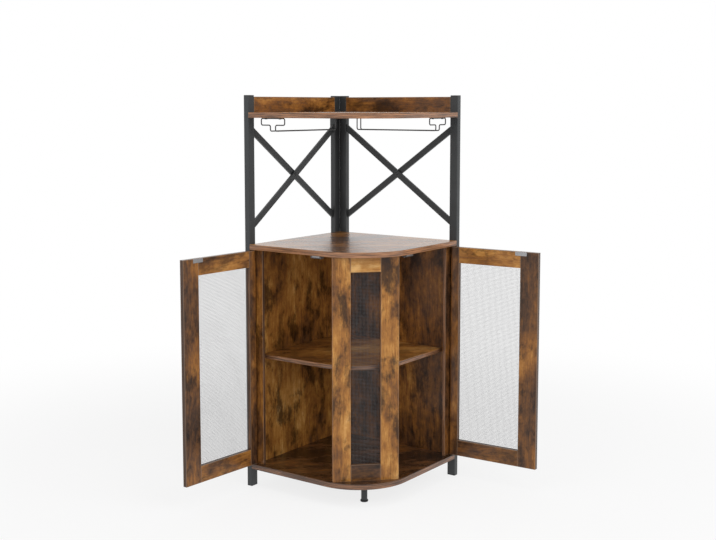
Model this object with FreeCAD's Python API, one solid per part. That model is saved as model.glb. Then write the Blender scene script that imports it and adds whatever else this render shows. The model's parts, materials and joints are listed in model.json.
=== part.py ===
"""Corner bar cabinet: steel side frames, rounded boards, mesh doors on pivots, wire stemware racks.

Millimetres, +Z up. The origin is on the floor under the middle of the cabinet's box, +Y points at the
room's corner and the rounded front faces -Y. The left half is laid out on wall axes: u runs along the
left wall from the room's corner, v runs away from that wall. The right half is its mirror image.
"""
import FreeCAD
import Part
import math
import os

Vector = FreeCAD.Vector
UP = Vector(0, 0, 1)
ROOT2 = math.sqrt(2)

# Overall size
HEIGHT = 1330.0
SIDE = 523.0            # room corner to the posts' front faces, along each wall
CORNER_R = 190.0        # rounded front corner of the boards

# Steel tube of the side frames
POST_W = 30.0           # along the wall
POST_D = 20.0           # away from the wall
TUBE_WALL = 1.2
TUBE_R = 2.0
CAP_T = 3.0
FOOT_T = 4.0
PLUG_DEPTH = 12.0
PLUG_GAP = 0.1
REAR_POST_GAP = 0.1     # between the two rear posts

# Crossed braces
BRACE_W = 21.0
BRACE_T = 7.0
BRACE_RISE = 65.0       # counter top to the middle of the lower brace ends
BRACE_DROP = 40.0       # top shelf's underside to the middle of the upper ones
RIVET_D = 6.0
RIVET_HEAD_D = 11.0
RIVET_HEAD_T = 2.5

# Boards
BOARD_T = 18.0
BOARD_EDGE = 1.0        # chamfer on the board edges
BOTTOM_Z = 60.5         # underside of the bottom board
CASE_H = 736.5          # clear height between the bottom board and the counter
SHELF_DROP = 57.0       # top of the posts to the top of the top shelf
MID_T = 15.0
MID_SHARE = 0.51        # height of the middle shelf's top in the case
MID_FRONT_GAP = 14.5    # shelf to the centre panel
MID_GAP = 0.5
PIN_D = 5.0
PIN_DEPTH = 8.0
PIN_REACH = 10.0
PIN_FROM_CORNER = 120.0
PIN_FROM_FRONT = 90.0

# Fences of the top shelf
FENCE_DROP = 5.0        # below the posts' tops
FENCE_SCREW_INSET = 100.0

# Bolts of the frames and screws of the boards
BOLT_D = 6.0
BOLT_HEAD_D = 12.0
BOLT_HEAD_T = 3.0
BOLT_INSET = 10.0       # from the tube's side nearest the middle of the wall
BOLT_CLEAR = 1.0        # between the two rear bolts where they pass
HOLE_GAP = 0.1          # radial, round every bolt, screw, dowel and pin that is fixed
CUT_RUN = 1.0           # how far a cutter runs past the face or the end that it cuts
SCREW_D = 4.0
SCREW_HEAD_D = 8.0
SCREW_HEAD_T = 2.0
FENCE_SCREW_GRIP = 25.0

# Lower case
PANEL_T = 12.0
PANEL_GROOVE = 5.0
GROOVE_GAP = 0.15
STRIP_W = 41.0
STRIP_T = 10.0
STRIP_GAP = 2.0         # closed door to strip
DOWEL_D = 6.0
DOWEL_GRIP = 11.0       # into each of the two pieces

# Fixed centre panel
CENTRE_HALF_W = 109.0
CENTRE_T = 15.0
CENTRE_SETBACK = 38.4   # behind the boards' rounded edge
CENTRE_STILE_W = 60.0
CENTRE_TOP_RAIL = 50.0
CENTRE_BOTTOM_RAIL = 55.0

# Doors
DOOR_T = 15.0
DOOR_GAP = 2.0          # to the boards above and below
DOOR_POST_GAP = 2.0
DOOR_FREE_GAP = 1.8     # to the centre panel
DOOR_OPEN = 93.0        # opening angle at rest, in degrees
HINGE_STILE_W = 34.0
FREE_STILE_W = 65.0
DOOR_RAIL_W = 55.0
FRAME_EDGE = 0.6        # chamfer on stiles and rails

# Mesh sheets
MESH_T = 1.0
MESH_INSET = 4.0        # from the frame's outer face to the sheet's middle
MESH_SLOT_GAP = 0.2     # each side of the sheet in its groove
MESH_GROOVE = 6.0
MESH_EDGE_GAP = 0.5     # sheet edge to the bottom of its groove
MESH_PITCH = 34.0
MESH_BAR = 9.0

# Pivots
PIVOT_D = 5.0
PIVOT_RUN = 0.05        # running clearance, radial
PIVOT_IN_DOOR = 22.0
PIVOT_TIP_GAP = 0.5
BUSH_WALL = 1.0
BUSH_DEPTH = 10.0
BUSH_FLANGE_D = 12.0
BUSH_SEAT_GAP = 0.3     # flange to door

# Door furniture
PLATE_W = 42.0
PLATE_H = 13.0
PLATE_T = 1.2
PLATE_DROP = 0.5        # below the door's top
PLATE_FROM_FREE = 63.0  # centre to the door's free edge
CATCH_T = 16.0
CATCH_H = 10.0
CATCH_GAP = 0.3
MAGNET_W = 30.0
MAGNET_T = 6.0
MAGNET_H = 5.0
KNOB_D = 22.0
KNOB_NECK_D = 9.0
KNOB_PROUD = 20.0
KNOB_STUD_D = 4.0
KNOB_STUD_IN = 10.0     # into the knob, and as far into the stile

# Stemware racks
WIRE_D = 4.0
RACK_FROM_WALL = 102.0
RACK_SETBACK = 29.0     # front uprights behind the shelf's edge
RACK_LENGTH = 327.0
RACK_MOUTH = 100.0
RACK_SLOT = 22.0
RACK_STEP = 24.0
RACK_DROP = 43.5
RACK_BEND = 6.0
CLIP_T = 1.2
CLIP_W = 8.0
CLIP_EAR = 10.0
CLIP_SPACING = 60.0
CLIP_SCREW_D = 3.0
CLIP_HEAD_D = 6.0
CLIP_SCREW_GRIP = 10.0

# Front foot
LEG_SETBACK = 69.0      # leg's axis behind the boards' rounded edge
LEG_D = 20.5
LEG_PLATE_D = 50.0
LEG_PLATE_T = 3.0
GLIDE_D = 26.0
GLIDE_T = 6.0
LEG_SCREWS = 3
LEG_SCREW_GRIP = 12.0

# Places worked out from the sizes above
BOTTOM_TOP = BOTTOM_Z + BOARD_T
COUNTER_UNDER = BOTTOM_TOP + CASE_H
COUNTER_Z = COUNTER_UNDER + BOARD_T
SHELF_Z = HEIGHT - SHELF_DROP
SHELF_UNDER = SHELF_Z - BOARD_T
FENCE_Z = HEIGHT - FENCE_DROP
MID_Z = BOTTOM_TOP + MID_SHARE * CASE_H
BRACE_LOW_Z = COUNTER_Z + BRACE_RISE
BRACE_HIGH_Z = SHELF_UNDER - BRACE_DROP
FRONT_POST_U = SIDE - POST_W
REAR_POST_U = POST_D - TUBE_R * (2 - ROOT2) + REAR_POST_GAP / ROOT2
REAR_BOLT_U = REAR_POST_U + POST_W - BOLT_INSET
BOLT_GRIP = REAR_BOLT_U - BOLT_D / 2 - BOLT_CLEAR - POST_D
DOOR_IN_U = SIDE - DOOR_T
STRIP_FRONT_U = DOOR_IN_U - STRIP_GAP
STRIP_REAR_U = STRIP_FRONT_U - STRIP_T
PIVOT_U = SIDE - DOOR_T / 2
PIVOT_V = POST_D + DOOR_POST_GAP + DOOR_T / 2
DOOR_LOW = BOTTOM_TOP + DOOR_GAP
DOOR_HIGH = COUNTER_UNDER - DOOR_GAP
DOOR_FREE_V = DOOR_IN_U - ROOT2 * (CENTRE_HALF_W + DOOR_FREE_GAP)
ARC_REACH = ROOT2 * (SIDE - CORNER_R) + CORNER_R
REAR_REACH = REAR_POST_U / ROOT2 + TUBE_R * (ROOT2 - 1)
CENTRE_REACH = ARC_REACH - CENTRE_SETBACK
LEG_REACH = ARC_REACH - LEG_SETBACK
MID_SETBACK = (CENTRE_SETBACK + CENTRE_T + MID_FRONT_GAP) / ROOT2
ROW_Y = (ARC_REACH + REAR_REACH) / 2

pieces = {}


def add(node, *solids):
    """Puts solids into a named piece."""
    pieces.setdefault(node, []).extend(solids)


def seat(shape):
    """Moves a shape from the left wall's axes into the cabinet's frame."""
    placed = shape.copy()
    placed.rotate(Vector(0, 0, 0), UP, 225)
    placed.translate(Vector(0, ROW_Y, 0))
    return placed


def mirror(shape):
    return shape.mirror(Vector(0, 0, 0), Vector(1, 0, 0))


def both(shape):
    """The left-hand shape on wall axes, as a left and a right one in the cabinet's frame."""
    left = seat(shape)
    return left, mirror(left)


def add_pair(name, shape):
    left, right = both(shape)
    add("left_" + name, left)
    add("right_" + name, right)


def add_group(node, shape):
    add(node, *both(shape))


def block(u0, u1, v0, v1, z0, z1):
    return Part.makeBox(u1 - u0, v1 - v0, z1 - z0, Vector(u0, v0, z0))


def rod(diameter, start, direction, length):
    return Part.makeCylinder(diameter / 2, length, start, direction)


def prism(points, z0, z1):
    """Upright prism on a polygon of (u, v) points."""
    corners = [Vector(u, v, z0) for u, v in points]
    wire = Part.makePolygon(corners + corners[:1])
    return Part.Face(wire).extrude(Vector(0, 0, z1 - z0))


def cut_all(shape, cutters):
    return shape.cut(Part.makeCompound(list(cutters))) if cutters else shape


def edged(shape, size):
    """Breaks every edge of a plain board by a small chamfer."""
    return shape.makeChamfer(size, shape.Edges)


def rounded_rod(half_w, half_d, radius, z0, z1, centre):
    """Upright bar of rounded rectangular section about a (u, v) centre."""
    u, v = centre
    bar = block(u - half_w, u + half_w, v - half_d, v + half_d, z0, z1)
    corners = [edge for edge in bar.Edges if abs(edge.tangentAt(0).z) > 0.5]
    return bar.makeFillet(radius, corners)


def headed_pin(shank_d, shank, head_d, head_t, seat_point, direction):
    """A bolt or screw: its head stands on seat_point, its shank runs along direction."""
    head = rod(head_d, seat_point, direction * -1, head_t)
    circles = [edge for edge in head.Edges if edge.Closed]
    rim = [edge for edge in circles if edge.CenterOfMass.sub(seat_point).Length > head_t / 2]
    head = head.makeChamfer(head_t * 0.45, rim)
    return head.fuse(rod(shank_d, seat_point, direction, shank)).removeSplitter()


def board_plan(inner, outer, radius, z0, z1):
    """Board with square back edges and one rounded front corner."""
    mid = outer - radius + radius / ROOT2
    edges = [
        Part.LineSegment(Vector(inner, inner, z0), Vector(outer, inner, z0)),
        Part.LineSegment(Vector(outer, inner, z0), Vector(outer, outer - radius, z0)),
        Part.Arc(Vector(outer, outer - radius, z0), Vector(mid, mid, z0), Vector(outer - radius, outer, z0)),
        Part.LineSegment(Vector(outer - radius, outer, z0), Vector(inner, outer, z0)),
        Part.LineSegment(Vector(inner, outer, z0), Vector(inner, inner, z0)),
    ]
    wire = Part.Wire([edge.toShape() for edge in edges])
    return Part.Face(wire).extrude(Vector(0, 0, z1 - z0))


def softened_board(inner, outer, radius, z0, z1):
    board = board_plan(inner, outer, radius, z0, z1)
    flat = [edge for edge in board.Edges if abs(edge.tangentAt(edge.FirstParameter).z) < 0.5]
    return board.makeChamfer(BOARD_EDGE, flat)


def post_bolts():
    """Bolts of one side frame, each with the hole it needs."""
    bolts = []
    holes = []
    inward = Vector(0, 1, 0)
    reach = POST_D + BOLT_GRIP
    hole_d = BOLT_D + 2 * HOLE_GAP
    for u in (FRONT_POST_U + BOLT_INSET, REAR_BOLT_U):
        for z in (BOTTOM_Z + BOARD_T / 2, COUNTER_Z - BOARD_T / 2, SHELF_Z - BOARD_T / 2):
            foot = Vector(u, 0, z)
            bolts.append(headed_pin(BOLT_D, reach, BOLT_HEAD_D, BOLT_HEAD_T, foot, inward))
            holes.append(rod(hole_d, foot - inward * CUT_RUN, inward, reach + 2 * CUT_RUN))
    return bolts, holes


def make_frames():
    """Tube posts with caps, crossed braces with rivets, and the bolts that carry the boards."""
    bolts, holes = post_bolts()
    half_w = POST_W / 2
    half_d = POST_D / 2
    for name, u in (("front_post", FRONT_POST_U), ("rear_post", REAR_POST_U)):
        middle = (u + half_w, half_d)
        bore_r = max(TUBE_R - TUBE_WALL, 0.3)
        low = FOOT_T
        high = HEIGHT - CAP_T
        tube = rounded_rod(half_w, half_d, TUBE_R, low, high, middle)
        bore_w = half_w - TUBE_WALL
        bore_d = half_d - TUBE_WALL
        bore = rounded_rod(bore_w, bore_d, bore_r, low - CUT_RUN, high + CUT_RUN, middle)
        add_pair(name, cut_all(tube.cut(bore), holes))
        plug_w = bore_w - PLUG_GAP
        plug_d = bore_d - PLUG_GAP
        foot = rounded_rod(half_w, half_d, TUBE_R, 0, low, middle)
        foot_plug = rounded_rod(plug_w, plug_d, bore_r, low, low + PLUG_DEPTH, middle)
        add_group("post_foot_caps", foot.fuse(foot_plug))
        cap = rounded_rod(half_w, half_d, TUBE_R, high, HEIGHT, middle)
        rim = [edge for edge in cap.Edges if edge.BoundBox.ZMin > HEIGHT - CAP_T / 10]
        cap = cap.makeChamfer(CAP_T / 3, rim)
        cap_plug = rounded_rod(plug_w, plug_d, bore_r, high - PLUG_DEPTH, high, middle)
        add_group("post_top_caps", cap.fuse(cap_plug))
    for bolt in bolts:
        add_group("frame_bolts", bolt)
    make_braces()


def brace_bar(z_rear, z_front, v0):
    """Flat bar between the two posts of a frame, its ends cut upright."""
    rear = REAR_POST_U + POST_W
    front = FRONT_POST_U
    half = BRACE_W / 2 / math.cos(math.atan2(BRACE_HIGH_Z - BRACE_LOW_Z, front - rear))
    corners = [Vector(rear, v0, z_rear - half), Vector(front, v0, z_front - half),
               Vector(front, v0, z_front + half), Vector(rear, v0, z_rear + half)]
    return Part.Face(Part.makePolygon(corners + corners[:1])).extrude(Vector(0, BRACE_T, 0))


def make_braces():
    cross_u = (REAR_POST_U + POST_W + FRONT_POST_U) / 2
    cross_z = (BRACE_LOW_Z + BRACE_HIGH_Z) / 2
    first_v = POST_D / 2 - BRACE_T
    inward = Vector(0, 1, 0)
    hole_start = Vector(cross_u, first_v - CUT_RUN, cross_z)
    hole = rod(RIVET_D + 2 * HOLE_GAP, hole_start, inward, 2 * (BRACE_T + CUT_RUN))
    add_pair("brace_rising", brace_bar(BRACE_LOW_Z, BRACE_HIGH_Z, first_v).cut(hole))
    add_pair("brace_falling", brace_bar(BRACE_HIGH_Z, BRACE_LOW_Z, POST_D / 2).cut(hole))
    foot = Vector(cross_u, first_v, cross_z)
    rivet = headed_pin(RIVET_D, 2 * BRACE_T, RIVET_HEAD_D, RIVET_HEAD_T, foot, inward)
    far = foot + inward * (2 * BRACE_T)
    tail = headed_pin(RIVET_D, BRACE_T, RIVET_HEAD_D, RIVET_HEAD_T, far, inward * -1)
    add_group("brace_rivets", rivet.fuse(tail).removeSplitter())


def fence_screws():
    screws = []
    holes = []
    inward = Vector(0, 1, 0)
    z = SHELF_Z - BOARD_T / 2
    reach = POST_D + FENCE_SCREW_GRIP
    for u in (REAR_POST_U + POST_W + FENCE_SCREW_INSET, FRONT_POST_U - FENCE_SCREW_INSET):
        foot = Vector(u, 0, z)
        screws.append(headed_pin(SCREW_D, reach, SCREW_HEAD_D, SCREW_HEAD_T, foot, inward))
        holes.append(rod(SCREW_D + 2 * HOLE_GAP, Vector(u, -CUT_RUN, z), inward, reach + 2 * CUT_RUN))
    return screws, holes


def rack_clip_places():
    """(u, v, side) of each rack clip; side says which way its ear points along u."""
    front = SIDE - RACK_SETBACK
    rear = front - RACK_LENGTH
    half = CLIP_SPACING / 2
    return [(front, RACK_FROM_WALL - half, -1), (front, RACK_FROM_WALL + half, -1), (rear, RACK_FROM_WALL, 1)]


def rack_screw_axis(u, side):
    return u + side * (WIRE_D / 2 + CLIP_T + CLIP_EAR / 2)


def case_dowels():
    """Dowels that stand the hinge strips and the centre stiles between the boards, in the cabinet's frame."""
    strip_u = (STRIP_FRONT_U + STRIP_REAR_U) / 2
    strip_v = POST_D + STRIP_W / 2
    stile_x = CENTRE_HALF_W - CENTRE_STILE_W / 2
    stile_y = ROW_Y - CENTRE_REACH + CENTRE_T / 2
    dowels = []
    holes = []
    for z in (BOTTOM_TOP, COUNTER_UNDER):
        low = z - DOWEL_GRIP
        length = 2 * DOWEL_GRIP
        hole_d = DOWEL_D + 2 * HOLE_GAP
        dowels.extend(both(rod(DOWEL_D, Vector(strip_u, strip_v, low), UP, length)))
        holes.extend(both(rod(hole_d, Vector(strip_u, strip_v, low - CUT_RUN), UP, length + 2 * CUT_RUN)))
        for x in (-stile_x, stile_x):
            dowels.append(rod(DOWEL_D, Vector(x, stile_y, low), UP, length))
            holes.append(rod(hole_d, Vector(x, stile_y, low - CUT_RUN), UP, length + 2 * CUT_RUN))
    return dowels, holes


def panel_plan(depth_z):
    """Wall panel, mitred at the room's corner, grown by depth_z into the boards above and below."""
    inner = POST_D + PANEL_T
    points = [(POST_D, POST_D), (STRIP_REAR_U, POST_D), (STRIP_REAR_U, inner), (inner, inner)]
    return prism(points, BOTTOM_TOP - depth_z, COUNTER_UNDER + depth_z)


def panel_groove():
    """Room for a wall panel in the boards."""
    inner = POST_D + PANEL_T + GROOVE_GAP
    far = STRIP_REAR_U + GROOVE_GAP
    outer = POST_D - CUT_RUN
    points = [(outer, outer), (far, outer), (far, inner), (inner, inner)]
    depth = PANEL_GROOVE + GROOVE_GAP
    return prism(points, BOTTOM_TOP - depth, COUNTER_UNDER + depth)


def bush_hole():
    radius_d = PIVOT_D + 2 * (PIVOT_RUN + BUSH_WALL + HOLE_GAP)
    low = BOTTOM_TOP - BUSH_DEPTH - HOLE_GAP
    high = COUNTER_UNDER + BUSH_DEPTH + HOLE_GAP
    return rod(radius_d, Vector(PIVOT_U, PIVOT_V, low), UP, high - low)


def make_boards(dowel_holes):
    bolt_holes = post_bolts()[1]
    screws, screw_holes = fence_screws()
    frame_cuts = [cut for hole in bolt_holes for cut in both(hole)]
    fence_cuts = [cut for hole in screw_holes for cut in both(hole)]
    case_cuts = list(dowel_holes) + list(both(panel_groove())) + list(both(bush_hole()))
    rack_cuts = [cut for hole in rack_screw_holes() for cut in both(hole)]
    leg_cuts = leg_screw_holes()
    catch_cuts = [cut for hole in catch_screw_holes() for cut in both(hole)]
    plans = {
        "bottom_board": (BOTTOM_Z, frame_cuts + case_cuts + leg_cuts),
        "counter_top": (COUNTER_UNDER, frame_cuts + case_cuts + catch_cuts),
        "top_shelf": (SHELF_UNDER, frame_cuts + fence_cuts + rack_cuts),
    }
    for node, (low, cuts) in plans.items():
        board = seat(softened_board(POST_D, SIDE, CORNER_R, low, low + BOARD_T))
        add(node, cut_all(board, cuts))
    inner = POST_D + PANEL_T + MID_GAP
    add("mid_shelf", seat(softened_board(inner, SIDE - MID_SETBACK, CORNER_R, MID_Z - MID_T, MID_Z)))
    rear = REAR_POST_U + POST_W
    fence = edged(block(rear, FRONT_POST_U, 0, POST_D, SHELF_UNDER, FENCE_Z), FRAME_EDGE)
    add_pair("fence", cut_all(fence, screw_holes))
    for screw in screws:
        add_group("fence_screws", screw)


def shelf_pin_places():
    return (PIN_FROM_CORNER, SIDE - MID_SETBACK - PIN_FROM_FRONT)


def make_case(dowel_holes):
    inner = POST_D + PANEL_T
    inward = Vector(0, 1, 0)
    pin_z = MID_Z - MID_T - PIN_D / 2
    pin_holes = []
    for u in shelf_pin_places():
        start = Vector(u, inner - PIN_DEPTH, pin_z)
        add_group("shelf_pins", rod(PIN_D, start, inward, PIN_DEPTH + PIN_REACH))
        pin_holes.append(rod(PIN_D + 2 * HOLE_GAP, start, inward, PIN_DEPTH + CUT_RUN))
    add_pair("wall_panel", cut_all(panel_plan(PANEL_GROOVE), pin_holes))
    strip = block(STRIP_REAR_U, STRIP_FRONT_U, POST_D, POST_D + STRIP_W, BOTTOM_TOP, COUNTER_UNDER)
    left, right = both(edged(strip, FRAME_EDGE))
    add("left_hinge_strip", cut_all(left, dowel_holes))
    add("right_hinge_strip", cut_all(right, dowel_holes))


def mesh_sheet(width, height, thickness):
    """Sheet in the X-Z plane about the origin, with a grid of square gaps."""
    columns = max(1, int((width - MESH_BAR) // MESH_PITCH))
    rows = max(1, int((height - MESH_BAR) // MESH_PITCH))
    step_x = (width - MESH_BAR) / columns
    step_z = (height - MESH_BAR) / rows
    outline = mesh_rectangle(-width / 2, -height / 2, width, height)
    gaps = []
    for column in range(columns):
        for row in range(rows):
            x = -width / 2 + MESH_BAR + column * step_x
            z = -height / 2 + MESH_BAR + row * step_z
            gaps.append(mesh_rectangle(x, z, step_x - MESH_BAR, step_z - MESH_BAR))
    face = Part.Face([outline] + gaps)
    face.validate()
    sheet = face.extrude(Vector(0, thickness, 0))
    sheet.translate(Vector(0, -thickness / 2, 0))
    return sheet


def mesh_rectangle(x, z, width, height):
    right = x + width
    top = z + height
    corners = [Vector(x, 0, z), Vector(right, 0, z), Vector(right, 0, top), Vector(x, 0, top)]
    return Part.makePolygon(corners + corners[:1])


def groove_block(u_mid, v0, v1, z0, z1):
    """Groove round a mesh opening: the sheet's seat grown by its clearances."""
    half = MESH_T / 2 + MESH_SLOT_GAP
    return block(u_mid - half, u_mid + half, v0 - MESH_GROOVE, v1 + MESH_GROOVE,
                 z0 - MESH_GROOVE, z1 + MESH_GROOVE)


def make_centre_panel(dowel_holes):
    """Fixed mesh panel across the rounded corner, square to the cabinet's middle plane."""
    front = ROW_Y - CENTRE_REACH
    back = front + CENTRE_T
    low = BOTTOM_TOP
    high = COUNTER_UNDER
    opening = CENTRE_HALF_W - CENTRE_STILE_W
    low_rail = low + CENTRE_BOTTOM_RAIL
    high_rail = high - CENTRE_TOP_RAIL
    sheet_y = front + CENTRE_T - MESH_INSET
    half = MESH_T / 2 + MESH_SLOT_GAP
    groove = block(-opening - MESH_GROOVE, opening + MESH_GROOVE, sheet_y - half, sheet_y + half,
                   low_rail - MESH_GROOVE, high_rail + MESH_GROOVE)
    boxes = {
        "centre_left_stile": (-CENTRE_HALF_W, -opening, low, high),
        "centre_right_stile": (opening, CENTRE_HALF_W, low, high),
        "centre_bottom_rail": (-opening, opening, low, low_rail),
        "centre_top_rail": (-opening, opening, high_rail, high),
    }
    for node, (x0, x1, z0, z1) in boxes.items():
        piece = edged(block(x0, x1, front, back, z0, z1), FRAME_EDGE)
        add(node, cut_all(piece.cut(groove), dowel_holes))
    seat_in = MESH_GROOVE - MESH_EDGE_GAP
    sheet = mesh_sheet(2 * (opening + seat_in), high_rail - low_rail + 2 * seat_in, MESH_T)
    sheet.translate(Vector(0, sheet_y, (low_rail + high_rail) / 2))
    add("centre_mesh", sheet)


def opened(shape):
    """Turns a closed door piece about its pivot to the rest pose."""
    turned = shape.copy()
    turned.rotate(Vector(PIVOT_U, PIVOT_V, 0), UP, -DOOR_OPEN)
    return turned


def add_door(name, *shapes):
    for shape in shapes:
        left, right = both(opened(shape))
        add("left_door_" + name, left)
        add("right_door_" + name, right)


def hinge_stile():
    """Hinge-side stile, its edge rounded about the pivot so that it turns beside the post."""
    edge_v = PIVOT_V + HINGE_STILE_W - DOOR_T / 2
    low = DOOR_LOW
    sides = [
        Part.LineSegment(Vector(DOOR_IN_U, PIVOT_V, low), Vector(DOOR_IN_U, edge_v, low)),
        Part.LineSegment(Vector(DOOR_IN_U, edge_v, low), Vector(SIDE, edge_v, low)),
        Part.LineSegment(Vector(SIDE, edge_v, low), Vector(SIDE, PIVOT_V, low)),
        Part.Arc(Vector(SIDE, PIVOT_V, low), Vector(PIVOT_U, PIVOT_V - DOOR_T / 2, low),
                 Vector(DOOR_IN_U, PIVOT_V, low)),
    ]
    wire = Part.Wire([side.toShape() for side in sides])
    return Part.Face(wire).extrude(Vector(0, 0, DOOR_HIGH - DOOR_LOW))


def make_doors():
    hinge_v = PIVOT_V + HINGE_STILE_W - DOOR_T / 2
    free_v = DOOR_FREE_V - FREE_STILE_W
    low_rail = DOOR_LOW + DOOR_RAIL_W
    high_rail = DOOR_HIGH - DOOR_RAIL_W
    sheet_u = SIDE - MESH_INSET
    groove = groove_block(sheet_u, hinge_v, free_v, low_rail, high_rail)
    pin_d = PIVOT_D + 2 * HOLE_GAP
    pin_low = rod(pin_d, Vector(PIVOT_U, PIVOT_V, DOOR_LOW - CUT_RUN), UP, PIVOT_IN_DOOR + CUT_RUN)
    pin_high = rod(pin_d, Vector(PIVOT_U, PIVOT_V, DOOR_HIGH - PIVOT_IN_DOOR), UP, PIVOT_IN_DOOR + CUT_RUN)
    screws, screw_holes = door_screws()
    add_door("hinge_stile", cut_all(hinge_stile(), [groove, pin_low, pin_high]))
    free = edged(block(DOOR_IN_U, SIDE, free_v, DOOR_FREE_V, DOOR_LOW, DOOR_HIGH), FRAME_EDGE)
    add_door("free_stile", cut_all(free, [groove] + screw_holes))
    for name, z0, z1 in (("bottom_rail", DOOR_LOW, low_rail), ("top_rail", high_rail, DOOR_HIGH)):
        rail = edged(block(DOOR_IN_U, SIDE, hinge_v, free_v, z0, z1), FRAME_EDGE)
        add_door(name, cut_all(rail, [groove] + screw_holes))
    seat_in = MESH_GROOVE - MESH_EDGE_GAP
    sheet = mesh_sheet(free_v - hinge_v + 2 * seat_in, high_rail - low_rail + 2 * seat_in, MESH_T)
    sheet.rotate(Vector(0, 0, 0), UP, 90)
    sheet.translate(Vector(sheet_u, (hinge_v + free_v) / 2, (low_rail + high_rail) / 2))
    add_door("mesh", sheet)
    add_door("screws", *screws)
    make_strike_plate(screw_holes)
    make_knob()
    make_pivots()


def plate_place():
    """Middle of the strike plate: along the door and in height."""
    return DOOR_FREE_V - PLATE_FROM_FREE, DOOR_HIGH - PLATE_DROP - PLATE_H / 2


def knob_place():
    return DOOR_FREE_V - FREE_STILE_W / 2, (DOOR_LOW + DOOR_HIGH) / 2


def door_screws():
    """Strike plate screws on the door's inner face and the hidden stud that holds the knob."""
    screws = []
    holes = []
    outward = Vector(1, 0, 0)
    plate_v, plate_z = plate_place()
    for v in (plate_v - PLATE_W / 3, plate_v + PLATE_W / 3):
        foot = Vector(DOOR_IN_U - PLATE_T, v, plate_z)
        screws.append(rod(CLIP_SCREW_D, foot, outward, PLATE_T + CLIP_SCREW_GRIP))
        holes.append(rod(CLIP_SCREW_D + 2 * HOLE_GAP, foot - outward * CUT_RUN, outward,
                         PLATE_T + CLIP_SCREW_GRIP + 2 * CUT_RUN))
    knob_v, knob_z = knob_place()
    foot = Vector(SIDE - KNOB_STUD_IN, knob_v, knob_z)
    screws.append(rod(KNOB_STUD_D, foot, outward, 2 * KNOB_STUD_IN))
    holes.append(rod(KNOB_STUD_D + 2 * HOLE_GAP, foot - outward * CUT_RUN, outward,
                     2 * (KNOB_STUD_IN + CUT_RUN)))
    return screws, holes


def make_strike_plate(holes):
    v, z = plate_place()
    half_w = PLATE_W / 2
    half_h = PLATE_H / 2
    plate = block(DOOR_IN_U - PLATE_T, DOOR_IN_U, v - half_w, v + half_w, z - half_h, z + half_h)
    corners = [edge for edge in plate.Edges if abs(edge.tangentAt(0).x) > 0.5]
    add_door("strike_plate", cut_all(plate.makeFillet(PLATE_H / 5, corners), holes))


def make_knob():
    """Turned knob on the door's outer face, bored for its stud."""
    v, z = knob_place()
    bore = KNOB_STUD_D / 2 + HOLE_GAP
    depth = KNOB_STUD_IN + CUT_RUN
    rim = KNOB_PROUD * 0.45
    soft = KNOB_PROUD * 0.08
    profile = [
        (bore, 0), (KNOB_D * 0.32, 0), (KNOB_NECK_D / 2, KNOB_PROUD * 0.12), (KNOB_NECK_D / 2, rim - soft),
        (KNOB_D / 2 - soft, rim), (KNOB_D / 2, rim + soft), (KNOB_D / 2, KNOB_PROUD - soft),
        (KNOB_D / 2 - soft, KNOB_PROUD), (0, KNOB_PROUD), (0, depth), (bore, depth),
    ]
    corners = [Vector(radius, 0, height) for radius, height in profile]
    face = Part.Face(Part.makePolygon(corners + corners[:1]))
    knob = face.revolve(Vector(0, 0, 0), UP, 360)
    knob.rotate(Vector(0, 0, 0), Vector(0, 1, 0), 90)
    knob.translate(Vector(SIDE, v, z))
    add_door("knob", knob)


def make_pivots():
    """Pivot pins fixed in the door and the flanged bushes that they turn in."""
    reach = DOOR_GAP + BUSH_DEPTH - PIVOT_TIP_GAP
    length = PIVOT_IN_DOOR + reach
    low_pin = rod(PIVOT_D, Vector(PIVOT_U, PIVOT_V, DOOR_LOW - reach), UP, length)
    high_pin = rod(PIVOT_D, Vector(PIVOT_U, PIVOT_V, DOOR_HIGH - PIVOT_IN_DOOR), UP, length)
    add_door("pivot_pins", low_pin, high_pin)
    bore_d = PIVOT_D + 2 * PIVOT_RUN
    flange_t = DOOR_GAP - BUSH_SEAT_GAP
    for face_z, way in ((BOTTOM_TOP, 1), (COUNTER_UNDER, -1)):
        centre = Vector(PIVOT_U, PIVOT_V, face_z)
        barrel = rod(bore_d + 2 * BUSH_WALL, centre, UP * -way, BUSH_DEPTH)
        flange = rod(BUSH_FLANGE_D, centre, UP * way, flange_t)
        bore = rod(bore_d, centre + UP * (way * DOOR_GAP), UP * -way, BUSH_DEPTH + 2 * DOOR_GAP)
        add_group("pivot_bushes", barrel.fuse(flange).cut(bore).removeSplitter())


def catch_front():
    """u of the catch's face, just behind the closed door's strike plate."""
    return DOOR_IN_U - PLATE_T - CATCH_GAP


def catch_screw_places():
    v = plate_place()[0]
    u = catch_front() - (CATCH_T + MAGNET_T) / 2
    return [Vector(u, v + offset, COUNTER_UNDER - CATCH_H) for offset in (-PLATE_W / 3, PLATE_W / 3)]


def catch_screw_holes():
    length = CATCH_H + CLIP_SCREW_GRIP + 2 * CUT_RUN
    return [rod(CLIP_SCREW_D + 2 * HOLE_GAP, place - UP * CUT_RUN, UP, length)
            for place in catch_screw_places()]


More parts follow.
